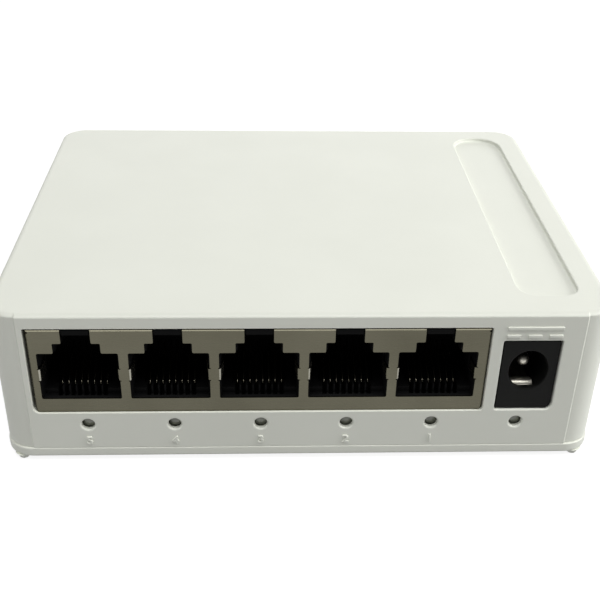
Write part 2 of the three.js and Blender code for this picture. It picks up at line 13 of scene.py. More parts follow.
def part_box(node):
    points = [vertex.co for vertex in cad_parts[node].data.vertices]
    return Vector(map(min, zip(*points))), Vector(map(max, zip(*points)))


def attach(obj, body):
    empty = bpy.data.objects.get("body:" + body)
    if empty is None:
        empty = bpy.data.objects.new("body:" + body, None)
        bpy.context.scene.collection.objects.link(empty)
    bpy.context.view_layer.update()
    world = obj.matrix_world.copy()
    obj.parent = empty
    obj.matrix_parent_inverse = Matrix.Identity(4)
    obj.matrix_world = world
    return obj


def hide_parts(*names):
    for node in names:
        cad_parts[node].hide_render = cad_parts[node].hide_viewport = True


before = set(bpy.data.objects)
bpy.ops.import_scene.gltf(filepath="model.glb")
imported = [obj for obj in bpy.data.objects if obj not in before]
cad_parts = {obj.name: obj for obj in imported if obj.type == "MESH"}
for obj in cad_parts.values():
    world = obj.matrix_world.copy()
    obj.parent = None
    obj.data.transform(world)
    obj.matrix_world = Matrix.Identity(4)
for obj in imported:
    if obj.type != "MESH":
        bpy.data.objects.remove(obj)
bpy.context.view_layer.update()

MM = 0.001
OVERCUT = 1.0  # how far a cutter reaches past the face it cuts, in millimetres

# ------------------------------------------------------------------ sizes taken from the frame


def box_mm(node):
    low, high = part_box(node)
    return low / MM, high / MM


COVER_LOW, COVER_HIGH = box_mm("top_cover")
SHIELD_LOW, SHIELD_HIGH = box_mm("jack_shield")
DC_LOW, DC_HIGH = box_mm("dc_jack_body")
PIN_LOW, PIN_HIGH = box_mm("dc_jack_pin")
BOARD_UNDERSIDE = box_mm("circuit_board")[0].z

HALF_W = COVER_HIGH.x
FRONT_Y = COVER_LOW.y
REAR_Y = COVER_HIGH.y
TOP_Z = COVER_HIGH.z
SEAM_Z = COVER_LOW.z
PORTS = (1, 2, 3, 4, 5)


def middle_x(node):
    low, high = box_mm(node)
    return (low.x + high.x) / 2


PORT_X = {port: middle_x(f"port_{port}_housing") for port in PORTS}
LED_X = {f"link_led_{port}": middle_x(f"link_led_{port}") for port in PORTS}
LED_X["power_led"] = middle_x("power_led")
DC_X = (DC_LOW.x + DC_HIGH.x) / 2

# ------------------------------------------------------------------ sizes of the case

CORNER = 4.5
SHARPEST_CORNER = 0.2
WALL = 1.8
CEILING = 1.7
PANEL_HALF = 43.7
PANEL_PROUD = 0.25
PANEL_STEP = ((0.0, 0.0), (0.07, 0.12), (0.13, 0.5), (0.19, 0.88), (0.26, 1.0))
TOP_ROUND = dict(inset=1.0, drop=0.5)
COVER_RIM = 0.05
TRAY_RIM = 0.22
TRAY_EDGE = 0.5
TRAY_PROUD = 0.07
SEAM_GAP = 0.03
TRAY_TOP = SEAM_Z - SEAM_GAP
TRAY_LIP = dict(inset=WALL + 0.3, thickness=1.0, rise=1.5)
FOOT = dict(height=0.9, x=45.6, y=36.3, radius=0.864, edge=0.2,
            flare=((0.96, 0.45), (1.14, 0.8), (1.35, 1.05)))
SCREW_WELL = dict(x=41.0, y=30.5, radius=3.1, depth=4.9, wall=1.3, sunk=0.8, floor=1.6, rim=0.35)
SCREW_HOLE = dict(radius=1.5, top=10.0)
VENTS = dict(rows=(-6.0, 8.0), count=7, pitch=5.0, half_width=0.9, half_length=4.4, rim=0.25)
LED_Z = 7.4
LED_HOLE = 1.05
LED_RIM = 0.32
LED_POCKET = dict(lip=0.8, offset=0.9, slope=0.1)
JACK_GAP = dict(left=0.36, right=0.06, below=0.15, above=0.3)
JACK_CORNERS = (1.1, 0.4, 0.3, 0.3)
JACK_FLARE = 0.1
DC_GAP = 0.18
DC_SKIRT = dict(depth=1.5, drop=0.45, step=0.05)
DC_OPENING_CORNERS = (0.3, 1.1, 0.3, 0.3)
DC_FLARE = 0.2
RECESS = dict(x0=34.2, x1=43.9, y0=-31.9, y1=33.4, corners=(3.0, 2.6, 4.7, 4.7),
              depth=0.7, rim=0.25, root=0.3)

# ------------------------------------------------------------------ mesh helpers


def new_object(name, data):
    obj = bpy.data.objects.new(name, data)
    bpy.context.scene.collection.objects.link(obj)
    return obj


def object_from_bmesh(name, bm):
    bmesh.ops.recalc_face_normals(bm, faces=bm.faces)
    mesh = bpy.data.meshes.new(name)
    bm.to_mesh(mesh)
    bm.free()
    return new_object(name, mesh)


def loft(name, rings):
    """A skin through rings of equal length, with a face across the first and the last one."""
    bm = bmesh.new()
    rows = [[bm.verts.new(point) for point in ring] for ring in rings]
    count = len(rows[0])
    for low, high in zip(rows, rows[1:]):
        for i in range(count):
            j = (i + 1) % count
            bm.faces.new((low[i], low[j], high[j], high[i]))
    bm.faces.new(rows[0])
    bm.faces.new(rows[-1])
    return object_from_bmesh(name, bm)


def block(name, low, high):
    (x0, y0, z0), (x1, y1, z1) = low, high
    ring = [(x0, y0), (x1, y0), (x1, y1), (x0, y1)]
    return loft(name, [[(x, y, z) for x, y in ring] for z in (z0, z1)])


def arc(cx, cy, radius, start, end, steps):
    """Points along an arc, angles in degrees, both ends included."""
    turn = [math.radians(start + (end - start) * i / steps) for i in range(steps + 1)]
    return [(cx + radius * math.cos(t), cy + radius * math.sin(t)) for t in turn]


def circle(cx, cy, radius, steps):
    return arc(cx, cy, radius, 0, 360, steps)[:-1]


def quarter_turn(steps, first=0):
    """Pairs (sine, cosine) of angles from 0 to 90 degrees, from the step called first."""
    turn = [math.radians(90 * i / steps) for i in range(first, steps + 1)]
    return [(math.sin(t), math.cos(t)) for t in turn]


def quarter(radius, steps):
    """Pairs (inset, drop) along a convex quarter round, from the wall to the flat."""
    return [(radius * (1 - cosine), radius * (1 - sine)) for sine, cosine in quarter_turn(steps)]


def rounded_rectangle(x0, x1, y0, y1, radii, steps=8):
    """Corner radii go low-left, low-right, high-right, high-left."""
    ll, lr, hr, hl = radii if isinstance(radii, (tuple, list)) else (radii,) * 4
    return (
        arc(x0 + ll, y0 + ll, ll, 180, 270, steps)
        + arc(x1 - lr, y0 + lr, lr, 270, 360, steps)
        + arc(x1 - hr, y1 - hr, hr, 0, 90, steps)
        + arc(x0 + hl, y1 - hl, hl, 90, 180, steps)
    )


def apply_modifiers(obj):
    depsgraph = bpy.context.evaluated_depsgraph_get()
    mesh = bpy.data.meshes.new_from_object(obj.evaluated_get(depsgraph))
    obj.modifiers.clear()
    old = obj.data
    obj.data = mesh
    bpy.data.meshes.remove(old)


def combine(obj, tools, operation="DIFFERENCE"):
    """Cuts, joins or trims obj with each tool in turn, and removes the tools."""
    for tool in tools:
        modifier = obj.modifiers.new("combine", "BOOLEAN")
        modifier.operation = operation
        modifier.solver = "EXACT"
        modifier.object = tool
        apply_modifiers(obj)
        bpy.data.objects.remove(tool)
    return obj


def bevel(obj, width, segments=2, angle=40):
    modifier = obj.modifiers.new("edges", "BEVEL")
    modifier.width = width
    modifier.segments = segments
    modifier.limit_method = "ANGLE"
    modifier.angle_limit = math.radians(angle)
    apply_modifiers(obj)
    return obj


def merge_objects(name, objects):
    """One object that holds the meshes of several."""
    bm = bmesh.new()
    for obj in objects:
        obj.data.transform(obj.matrix_world)
        bm.from_mesh(obj.data)
        bpy.data.objects.remove(obj)
    mesh = bpy.data.meshes.new(name)
    bm.to_mesh(mesh)
    bm.free()
    return new_object(name, mesh)


def complete(obj, body, material, slot, *nodes, smooth_angle=35):
    """Turns a finished shape into a piece: metres, smooth shading, material, body and CAD nodes."""
    obj.data.transform(Matrix.Scale(MM, 4))
    obj.data.polygons.foreach_set("use_smooth", [True] * len(obj.data.polygons))
    obj.data.set_sharp_from_angle(angle=math.radians(smooth_angle))
    modifier = obj.modifiers.new("normals", "WEIGHTED_NORMAL")
    modifier.keep_sharp = True
    modifier.weight = 80
    apply_modifiers(obj)
    obj.data.materials.clear()
    obj.data.materials.append(material)
    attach(obj, body)
    if nodes:
        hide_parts(*nodes)
    return obj


# ------------------------------------------------------------------ materials

BUMP_STRENGTH = 0.5


def node(tree, kind, **values):
    made = tree.nodes.new(kind)
    for key, value in values.items():
        if hasattr(made, key):
            setattr(made, key, value)
        else:
            made.inputs[key].default_value = value
    return made


def noise(tree, coords, scale, detail=3.0, roughness=0.5, stretch=None):
    made = node(tree, "ShaderNodeTexNoise", Scale=scale, Detail=detail, Roughness=roughness)
    if stretch:
        mapping = node(tree, "ShaderNodeMapping", Scale=stretch)
        tree.links.new(coords, mapping.inputs["Vector"])
        coords = mapping.outputs["Vector"]
    tree.links.new(coords, made.inputs["Vector"])
    return made.outputs["Fac"]


def remap(tree, source, low, high, from_low=0.3, from_high=0.7):
    made = node(tree, "ShaderNodeMapRange")
    made.inputs["From Min"].default_value = from_low
    made.inputs["From Max"].default_value = from_high
    made.inputs["To Min"].default_value = low
    made.inputs["To Max"].default_value = high
    tree.links.new(source, made.inputs["Value"])
    return made.outputs["Result"]


def blend_colors(tree, source, first, second):
    ramp = node(tree, "ShaderNodeValToRGB")
    ramp.color_ramp.elements[0].position = 0.35
    ramp.color_ramp.elements[1].position = 0.65
    ramp.color_ramp.elements[0].color = (*first, 1)
    ramp.color_ramp.elements[1].color = (*second, 1)
    tree.links.new(source, ramp.inputs["Fac"])
    return ramp.outputs["Color"]


def surface(name, dark, light, rough, metallic=0.0, patch=40.0, grain=3000.0, depth=0.00001,
            stretch=None, **sockets):
    """A principled material: colour drifts between two tones, roughness and bump follow a fine grain."""
    made = bpy.data.materials.new(name)
    made.use_nodes = True
    tree = made.node_tree
    shader = tree.nodes["Principled BSDF"]
    coords = node(tree, "ShaderNodeTexCoord").outputs["Object"]
    drift = noise(tree, coords, patch, 4.0)
    fine = noise(tree, coords, grain, 2.0, 0.6, stretch)
    tree.links.new(blend_colors(tree, drift, dark, light), shader.inputs["Base Color"])
    tree.links.new(remap(tree, fine, *rough), shader.inputs["Roughness"])
    bump = node(tree, "ShaderNodeBump", Strength=BUMP_STRENGTH, Distance=depth)
    tree.links.new(fine, bump.inputs["Height"])
    tree.links.new(bump.outputs["Normal"], shader.inputs["Normal"])
    shader.inputs["Metallic"].default_value = metallic
    for socket, value in sockets.items():
        shader.inputs[socket.replace("_", " ")].default_value = value
    return made


CASE_WHITE = surface("case_white", (0.770, 0.785, 0.705), (0.790, 0.805, 0.725), (0.44, 0.54),
                     patch=60, grain=4500, depth=0.000012)
NICKEL = surface("nickel_plate", (0.095, 0.090, 0.065), (0.118, 0.112, 0.082), (0.22, 0.31), 1.0,
                 patch=60, grain=900, depth=0.000003, stretch=(0.15, 1.0, 4.0))
# A lighter copy of the nickel plate for the left spring tongues: a painted highlight where the light from
# the right falls on them.
NICKEL_PAINTED_HIGHLIGHT = surface("nickel_painted_highlight", (0.27, 0.26, 0.22), (0.33, 0.32, 0.27), (0.2, 0.3), 1.0,
                      patch=200, grain=2000, depth=0.000002)
BLACK = surface("black_plastic", (0.0038, 0.0038, 0.0039), (0.0054, 0.0054, 0.0055), (0.42, 0.55),
                patch=150, grain=5000, depth=0.000006, Specular_IOR_Level=0.04)
CHARCOAL = surface("inlet_plastic", (0.0045, 0.0046, 0.0042), (0.006, 0.0062, 0.0056), (0.45, 0.6),
                   patch=150, grain=4000, depth=0.00001, Specular_IOR_Level=0.10)
GOLD = surface("gold_plate", (0.22, 0.20, 0.155), (0.27, 0.25, 0.195), (0.18, 0.25), 1.0,
               patch=400, grain=4000, depth=0.000002)
BRIGHT_METAL = surface("bright_metal", (0.56, 0.54, 0.47), (0.64, 0.62, 0.54), (0.34, 0.44), 1.0,
                       patch=200, grain=3000, depth=0.000002)
BOARD_GREEN = surface("board_mask", (0.010, 0.085, 0.032), (0.016, 0.12, 0.045), (0.25, 0.4),
                      patch=300, grain=1500, depth=0.00001)
CHIP_EPOXY = surface("chip_epoxy", (0.015, 0.015, 0.017), (0.025, 0.025, 0.028), (0.5, 0.65),
                     patch=300, grain=6000, depth=0.000008)
LED_LENS = surface("led_lens", (0.18, 0.19, 0.15), (0.23, 0.24, 0.19), (0.12, 0.2),
                   patch=800, grain=2000, depth=0.000002, Coat_Weight=0.6)
SCREW_STEEL = surface("screw_steel", (0.42, 0.42, 0.40), (0.55, 0.55, 0.52), (0.25, 0.38), 1.0,
                      patch=300, grain=2500, depth=0.000004)
CAN_ALUMINIUM = surface("can_aluminium", (0.60, 0.61, 0.62), (0.70, 0.71, 0.72), (0.25, 0.35), 1.0,
                        patch=200, grain=2000, depth=0.000004, stretch=(1, 1, 0.1))

# ------------------------------------------------------------------ case


def case_outline(inset, panel=True, steps=10):
    """The plan of the case, moved inwards by inset. The front panel stands proud between two lines."""
    radius = max(CORNER - inset, SHARPEST_CORNER)
    side = HALF_W - CORNER
    rear = REAR_Y - CORNER
    column_y = FRONT_Y + PANEL_PROUD
    front = column_y + CORNER
    proud = PANEL_PROUD if panel else 0.0
    left_step = [(-PANEL_HALF + across, column_y + inset - proud * share) for across, share in PANEL_STEP]
    right_step = [(-x, y) for x, y in reversed(left_step)]
    return (
        arc(-side, front, radius, 180, 270, steps) + left_step + right_step
        + arc(side, front, radius, 270, 360, steps)
        + arc(side, rear, radius, 0, 90, steps) + arc(-side, rear, radius, 90, 180, steps)
    )


def at_height(outline, z):
    return [(x, y, z) for x, y in outline]


def rounded_mouth(outline_at, surface_at, rim):
    """Rings from above a surface down a quarter round. outline_at(offset) is the hole's outline, and
    surface_at(outline, depth) puts it below the surface."""
    rings = [surface_at(outline_at(rim), -OVERCUT), surface_at(outline_at(rim), 0.0)]
    for sine, cosine in quarter_turn(5, 1):
        rings.append(surface_at(outline_at(rim * (1 - sine)), rim * (1 - cosine)))
    return rings


def front_hole(name, outline_at, rim, pocket=None):
    """A cutter through the front wall with a rounded mouth. A pocket widens it behind a thin lip."""
    rings = rounded_mouth(outline_at, behind_front, rim)
    offset = 0.0
    if pocket:
        offset = pocket["offset"]
        rings.append(behind_front(outline_at(0.0), pocket["lip"]))
        rings.append(behind_front(outline_at(offset), pocket["lip"] + pocket["slope"]))
    rings.append(behind_front(outline_at(offset), WALL + OVERCUT))
    return loft(name, rings)


def behind_front(outline, depth):
    return [(x, FRONT_Y + depth, z) for x, z in outline]


def below_top(outline, depth):
    return [(x, y, TOP_Z - depth) for x, y in outline]


def grown(x0, x1, y0, y1, radii, steps=8):
    """A function that gives the rounded rectangle grown by an offset."""
    def outline(offset):
        spread = tuple(radius + offset for radius in radii)
        return rounded_rectangle(x0 - offset, x1 + offset, y0 - offset, y1 + offset, spread, steps)
    return outline


def grown_circle(x, y, radius, steps=36):
    """A function that gives the circle grown by an offset."""
    def outline(offset):
        return circle(x, y, radius + offset, steps)
    return outline


def recess_cutter():
    """The shallow recess: a rounded rim, a steep wall and a small round at the edge of its floor."""
    outline = grown(RECESS["x0"], RECESS["x1"], RECESS["y0"], RECESS["y1"], RECESS["corners"], 10)
    root = RECESS["root"]
    rings = rounded_mouth(outline, below_top, RECESS["rim"])
    for sine, cosine in quarter_turn(5):
        rings.append(below_top(outline(-root * (1 - cosine)), RECESS["depth"] - root + root * sine))
    return loft("recess", rings)


def top_cover():
    inside = case_outline(WALL, False)
    rings = [at_height(inside, TOP_Z - CEILING), at_height(inside, SEAM_Z)]
    for inset, rise in reversed(quarter(COVER_RIM, 3)):
        rings.append(at_height(case_outline(inset), SEAM_Z + rise))
    for inset, drop in quarter(1, 8):
        rings.append(at_height(case_outline(inset * TOP_ROUND["inset"]), TOP_Z - drop * TOP_ROUND["drop"]))
    cover = loft("top_cover_visual", rings)
    jack = grown(SHIELD_LOW.x - JACK_GAP["left"], SHIELD_HIGH.x + JACK_GAP["right"],
                 SHIELD_LOW.z - JACK_GAP["below"], SHIELD_HIGH.z + JACK_GAP["above"], JACK_CORNERS)
    inlet = grown(DC_LOW.x - DC_GAP, DC_HIGH.x + DC_GAP,
                  DC_LOW.z - DC_SKIRT["drop"] - DC_GAP, DC_HIGH.z + DC_GAP, DC_OPENING_CORNERS)
    cutters = [
        front_hole("jack_opening", jack, JACK_FLARE),
        front_hole("dc_opening", inlet, DC_FLARE),
        recess_cutter(),
    ]
    for x in LED_X.values():
        cutters.append(front_hole("led_hole", grown_circle(x, LED_Z, LED_HOLE), LED_RIM, LED_POCKET))
    return complete(combine(cover, cutters), "root", CASE_WHITE, "case_plastic", "top_cover")


def foot(sign_x, sign_y):
    """A short moulded stud with a rounded foot, under one corner of the tray."""
    edge, flat = FOOT["edge"], FOOT["radius"] - FOOT["edge"]
    profile = [(flat + edge * sine, edge - edge * cosine) for sine, cosine in quarter_turn(4)]
    profile += FOOT["flare"]
    place = (sign_x * FOOT["x"], sign_y * FOOT["y"])
    return loft("foot", [at_height(circle(*place, radius, 28), z) for radius, z in profile])


def upright_cylinder(name, x, y, radius, z0, z1, steps=32):
    outline = circle(x, y, radius, steps)
    return loft(name, [at_height(outline, z0), at_height(outline, z1)])


def vent(x, y):
    """A slot with round ends whose lower mouth is slightly wider."""
    half, long, rim = VENTS["half_width"], VENTS["half_length"], VENTS["rim"]
    outline = grown(x - half, x + half, y - long, y + long, (half - 0.01,) * 4, 6)
    z = FOOT["height"]
    return loft("vent", [at_height(outline(rim), z - OVERCUT), at_height(outline(rim), z),
                         at_height(outline(0.0), z + rim), at_height(outline(0.0), SEAM_Z + OVERCUT)])


def tray_outline(inset, steps=10):
    """The plan of the tray, which stands a little proud of the cover all round."""
    inset -= TRAY_PROUD
    edge = HALF_W - inset
    radius = max(CORNER - inset, SHARPEST_CORNER)
    return rounded_rectangle(-edge, edge, FRONT_Y + inset, REAR_Y - inset, radius, steps)


def screw_well(x, y):
    """The cutters of a screw's well and of the hole above it."""
    low, radius, rim = FOOT["height"], SCREW_WELL["radius"], SCREW_WELL["rim"]
    profile = [(radius + rim, low - OVERCUT), (radius + rim, low), (radius, low + rim),
               (radius, SCREW_WELL["depth"])]
    bore = loft("well_bore", [at_height(circle(x, y, r, 40), z) for r, z in profile])
    return [bore, upright_cylinder("screw_hole", x, y, SCREW_HOLE["radius"], low, SCREW_HOLE["top"])]


def bottom_cover():
    low = FOOT["height"]
    lip, top = TRAY_LIP["inset"], TRAY_TOP + TRAY_LIP["rise"]
    lip_rear = lip + TRAY_LIP["thickness"]
    rings = [at_height(tray_outline(inset), low + rise) for inset, rise in reversed(quarter(TRAY_EDGE, 4))]
    rings += [at_height(tray_outline(inset), TRAY_TOP - drop) for inset, drop in quarter(TRAY_RIM, 4)]
    for inset, z in ((lip, TRAY_TOP), (lip, top), (lip_rear, top), (lip_rear, TRAY_TOP)):
        rings.append(at_height(tray_outline(inset), z))
    tray = loft("bottom_cover_visual", rings)
    well = SCREW_WELL
    screws = [(side * well["x"], well["y"]) for side in (-1, 1)]
    solids = [foot(x, y) for x in (-1, 1) for y in (-1, 1)]
    solids += [upright_cylinder("well", *place, well["radius"] + well["wall"], low + well["sunk"],
                                well["depth"] + well["floor"]) for place in screws]
    combine(tray, solids, "UNION")
    steps = [(i - VENTS["count"] // 2) * VENTS["pitch"] for i in range(VENTS["count"])]
    cutters = [vent(x, y) for y in VENTS["rows"] for x in steps]
    for place in screws:
        cutters += screw_well(*place)
    combine(tray, cutters)
    return complete(tray, "root", CASE_WHITE, "case_plastic", "bottom_cover")


top_cover()
bottom_cover()

# ------------------------------------------------------------------ jack shield

SHEET = 0.3
BEND = 0.42
ARC = BEND * math.pi / 2
BEND_STEPS = 5
FLANGE_LOW = 10.45
SKIRT_DROP = 0.13
CORNER_SLIT = 0.25
ROOF = dict(gap=0.1, shoulder=0.3)
WINDOW = dict(half=6.25, bottom=12.35, top=20.98, shoulder=3.65, shoulder_top=22.79, notch=2.27)
NOTCH_BACK = 2.3
TONGUE = dict(bottom=15.85, top=17.95, relief=0.18, bend=0.34, inner_bend=0.1, sheet=0.22, sunk=0.02,
              tip=((0.40, 1.4), (0.62, 2.6), (0.30, 3.6)))
FACE_Y = SHIELD_LOW.y
FLAT_TOP = SHIELD_HIGH.z - BEND - SHIELD_LOW.z
LEFT_BEND = SHIELD_LOW.x + BEND
RIGHT_BEND = SHIELD_HIGH.x - BEND


def rounded_loop(points, radii, steps=3):
    """A closed outline whose corners are rounded, each with its own radius."""
    outline = []
    for i, radius in enumerate(radii):
        here = Vector(points[i])
        if radius == 0:
            outline.append(tuple(here))
            continue
        back = (Vector(points[i - 1]) - here).normalized()
        ahead = (Vector(points[(i + 1) % len(points)]) - here).normalized()
        half = back.angle(ahead) / 2
        centre = here + (back + ahead).normalized() * radius / math.sin(half)
        first = here + back * radius / math.tan(half) - centre
        last = here + ahead * radius / math.tan(half) - centre
        start = math.atan2(first.y, first.x)
        swing = (math.atan2(last.y, last.x) - start + math.pi) % (2 * math.pi) - math.pi
        for k in range(steps + 1):
            turn = start + swing * k / steps
            outline.append((centre.x + radius * math.cos(turn), centre.y + radius * math.sin(turn)))
    return outline


def window_loop(x):
    """One stepped plug window of the flat pattern, whose notch runs over the bend into the top."""
    w, t = WINDOW, TONGUE
    wide, relief = w["half"] + t["relief"], t["relief"]
    low, high = t["bottom"] - SHIELD_LOW.z, t["top"] - SHIELD_LOW.z
    bottom, top, shoulder_top = (w[key] - SHIELD_LOW.z for key in ("bottom", "top", "shoulder_top"))
    notch_end = FLAT_TOP + ARC + NOTCH_BACK - BEND
    right = [
        (w["half"], bottom, 0.25),
        (w["half"], low - relief, 0), (wide, low - relief, 0.1), (wide, low, 0.1), (w["half"], low, 0),
        (w["half"], high, 0), (wide, high, 0.1), (wide, high + relief, 0.1), (w["half"], high + relief, 0),
        (w["half"], top, 0.3), (w["shoulder"], top, 0.2),
        (w["shoulder"], shoulder_top, 0.2), (w["notch"], shoulder_top, 0.2), (w["notch"], notch_end, 0.2),
    ]
    left = [(-across, up, radius) for across, up, radius in reversed(right)]
    corners = right + left
    return rounded_loop([(x + across, up) for across, up, _ in corners], [radius for *_, radius in corners])


def fold(x, s):
    """Where a point of the shield's flat pattern lies once its top and its two ends are bent back."""
    z = SHIELD_LOW.z + s
    if s > FLAT_TOP:
        turn = min((s - FLAT_TOP) / BEND, math.pi / 2)
        beyond = max(s - FLAT_TOP - ARC, 0)
        y = FACE_Y + BEND * (1 - math.cos(turn)) + beyond
        return (x, y, SHIELD_HIGH.z - BEND + BEND * math.sin(turn))
    for side, edge in ((1, RIGHT_BEND), (-1, LEFT_BEND)):
        across = side * (x - edge)
        if across > 0:
            turn = min(across / BEND, math.pi / 2)
            beyond = max(across - ARC, 0)
            return (edge + side * BEND * math.sin(turn), FACE_Y + BEND * (1 - math.cos(turn)) + beyond, z)
    return (x, FACE_Y, z)


def tongue(x, side):
    """A spring tongue cut from the side of a window and bent back into the jack."""
    t = TONGUE
    outer = arc(0, t["bend"], t["bend"], 270, 360, 5) + list(t["tip"])
    inner = [(u - t["sheet"], v) for u, v in reversed(t["tip"])]
    inner += arc(0, t["bend"], t["inner_bend"], 360, 270, 5)
    edge = x + side * WINDOW["half"]
    plan = [(edge - side * (u - t["sunk"]), FACE_Y + v) for u, v in outer + inner]
    return loft("tongue", [at_height(plan, z) for z in (t["bottom"], t["top"])])


def flat_pattern():
    """The outline of the shield before it is folded: the face, its roof and a flange at each end."""
    left, right = LEFT_BEND - ARC, RIGHT_BEND + ARC
    side_depth = SHIELD_HIGH.y - FACE_Y - BEND
    roof = FLAT_TOP + ARC + side_depth
    roof_left, roof_right = SHIELD_LOW.x + ROOF["gap"], SHIELD_HIGH.x - ROOF["gap"]
    shoulder = FLAT_TOP + ROOF["shoulder"]
    slit = FLAT_TOP - CORNER_SLIT
    flange = FLANGE_LOW - SHIELD_LOW.z
    return [
        (left - side_depth, flange), (left, flange), (left + ARC, -SKIRT_DROP),
        (right - ARC, -SKIRT_DROP), (right, flange), (right + side_depth, flange),
        (right + side_depth, slit), (RIGHT_BEND, slit), (RIGHT_BEND, FLAT_TOP),
        (roof_right, shoulder), (roof_right, roof), (roof_left, roof), (roof_left, shoulder),
        (LEFT_BEND, FLAT_TOP), (LEFT_BEND, slit), (left - side_depth, slit),
    ]


def jack_shield():
    bm = bmesh.new()
    for loop in [flat_pattern()] + [window_loop(x) for x in PORT_X.values()]:
        verts = [bm.verts.new((x, s, 0)) for x, s in loop]
        for i, vert in enumerate(verts):
            bm.edges.new((vert, verts[(i + 1) % len(verts)]))
    bmesh.ops.triangle_fill(bm, use_beauty=True, edges=bm.edges[:])
    bend_parts = [ARC * i / BEND_STEPS for i in range(BEND_STEPS + 1)]
    creases = [((0, FLAT_TOP + part, 0), (0, 1, 0)) for part in bend_parts]
    for edge, side in ((RIGHT_BEND, 1), (LEFT_BEND, -1)):
        creases += [((edge + side * part, 0, 0), (1, 0, 0)) for part in bend_parts]
    for place, normal in creases:
        everything = bm.verts[:] + bm.edges[:] + bm.faces[:]
        bmesh.ops.bisect_plane(bm, geom=everything, plane_co=place, plane_no=normal, dist=1e-5)
    for vert in bm.verts:
        vert.co = fold(vert.co.x, vert.co.y)
    bm.normal_update()
    front = min(bm.faces, key=lambda face: face.calc_center_median().y)
    if front.normal.y > 0:
        bmesh.ops.reverse_faces(bm, faces=bm.faces[:])
    mesh = bpy.data.meshes.new("jack_shield_visual")
    bm.to_mesh(mesh)
    bm.free()
    sheet = new_object("jack_shield_visual", mesh)
    thick = sheet.modifiers.new("sheet", "SOLIDIFY")
    thick.thickness = SHEET
    thick.offset = -1
    thick.use_even_offset = True
    apply_modifiers(sheet)
    bevel(sheet, 0.05, 2, 50)
    left, right = ([bevel(tongue(x, side), 0.04, 2, 50) for x in PORT_X.values()] for side in (-1, 1))
    # The left tongues take the lighter nickel, a painted highlight; the right tongues keep the plain plate.
    complete(merge_objects("jack_shield_left_tongues", left), "root", NICKEL_PAINTED_HIGHLIGHT, "nickel_plate",
             smooth_angle=30)
    whole = merge_objects("jack_shield_visual", [sheet] + right)
    return complete(whole, "root", NICKEL, "nickel_plate", "jack_shield", smooth_angle=30)


# ------------------------------------------------------------------ inside each jack

HOUSING_FRONT = FACE_Y + SHEET + 0.05
INSERT = dict(half=6.75, rear=-20.5, bottom=10.5, top=24.95)
CAVITY = dict(half=5.95, shoulder=3.35, notch=2.2, bottom=12.4, top=20.9, shoulder_top=22.6, notch_top=24.4,
              rear=-26.2, rim=0.22, rim_depth=0.5)
CAVITY_FLOOR = dict(half=6.2, step=4.5, bottom=11.5, top=12.7, overlap=0.5)
SILL = dict(front=-36.0, rear=-34.5, bottom=11.0, top=13.4)
LATCH_BAR = dict(half=2.1, front=0.1, rear=2.0, bottom=24.25, top=25.2)
WIRE_SLOT = dict(half=0.33, bottom=11.2, top=15.0, past=0.6)
TONGUE_POCKET = dict(inner=5.5, outer=6.6, rear=4.2, bottom=15.5, top=18.3)
COMB = dict(half_width=0.15, front=-36.12, rear=-34.9, bottom=11.1, top=13.9)
WIRES = dict(count=8, pitch=1.016, radius=0.17, pivot_y=-33.6, pivot_z=13.0)
WIRE_PATH = ((0.1, -0.4), (-0.5, -0.2), (-0.55, 0.15), (-0.1, 0.45), (2.8, 1.7), (6.3, 3.6))


def stepped_outline(x, offset):
    """The outline of the plug's opening in the black insert, grown by offset."""
    half, shoulder, notch = (CAVITY[key] + offset for key in ("half", "shoulder", "notch"))
    top, shoulder_top = CAVITY["top"] + offset, CAVITY["shoulder_top"] + offset
    right = [(half, CAVITY["bottom"] - offset), (half, top), (shoulder, top), (shoulder, shoulder_top),
             (notch, shoulder_top), (notch, CAVITY["notch_top"])]
    return [(x + across, z) for across, z in right] + [(x - across, z) for across, z in reversed(right)]


def wire_x(x, index):
    return x + (index - (WIRES["count"] - 1) / 2) * WIRES["pitch"]


def both_sides(name, x, inner, outer, front, rear, bottom, top):
    """Two blocks, one to the left of x and one to the right."""
    return [block(name, (x + low, front, bottom), (x + high, rear, top))
            for low, high in ((-outer, -inner), (inner, outer))]


def cavity_cutter(x):
    rim, depth = CAVITY["rim"], CAVITY["rim_depth"]
    steps = [(rim, HOUSING_FRONT - OVERCUT), (rim, HOUSING_FRONT), (0.0, HOUSING_FRONT + depth),
             (0.0, CAVITY["rear"])]
    return loft("bay", [[(px, y, pz) for px, pz in stepped_outline(x, offset)] for offset, y in steps])


def cavity_fills(x):
    """What stands in the cavity: the sill under the wires, a floor, two side steps and a latch bar."""
    level, bar = CAVITY_FLOOR, LATCH_BAR
    front, rear = SILL["rear"] - level["overlap"], CAVITY["rear"] + level["overlap"]
    sill = block("sill", (x - level["half"], SILL["front"], SILL["bottom"]),
                 (x + level["half"], SILL["rear"], SILL["top"]))
    base = block("bay_floor", (x - level["half"], front, level["bottom"]),
                 (x + level["half"], rear, level["top"]))
    sides = both_sides("side_step", x, level["step"], level["half"], front, rear,
                       level["bottom"], SILL["top"])
    latch = block("latch_bar", (x - bar["half"], FACE_Y + bar["front"], bar["bottom"]),
                  (x + bar["half"], FACE_Y + bar["rear"], bar["top"]))
    return [sill, base, *sides, latch]


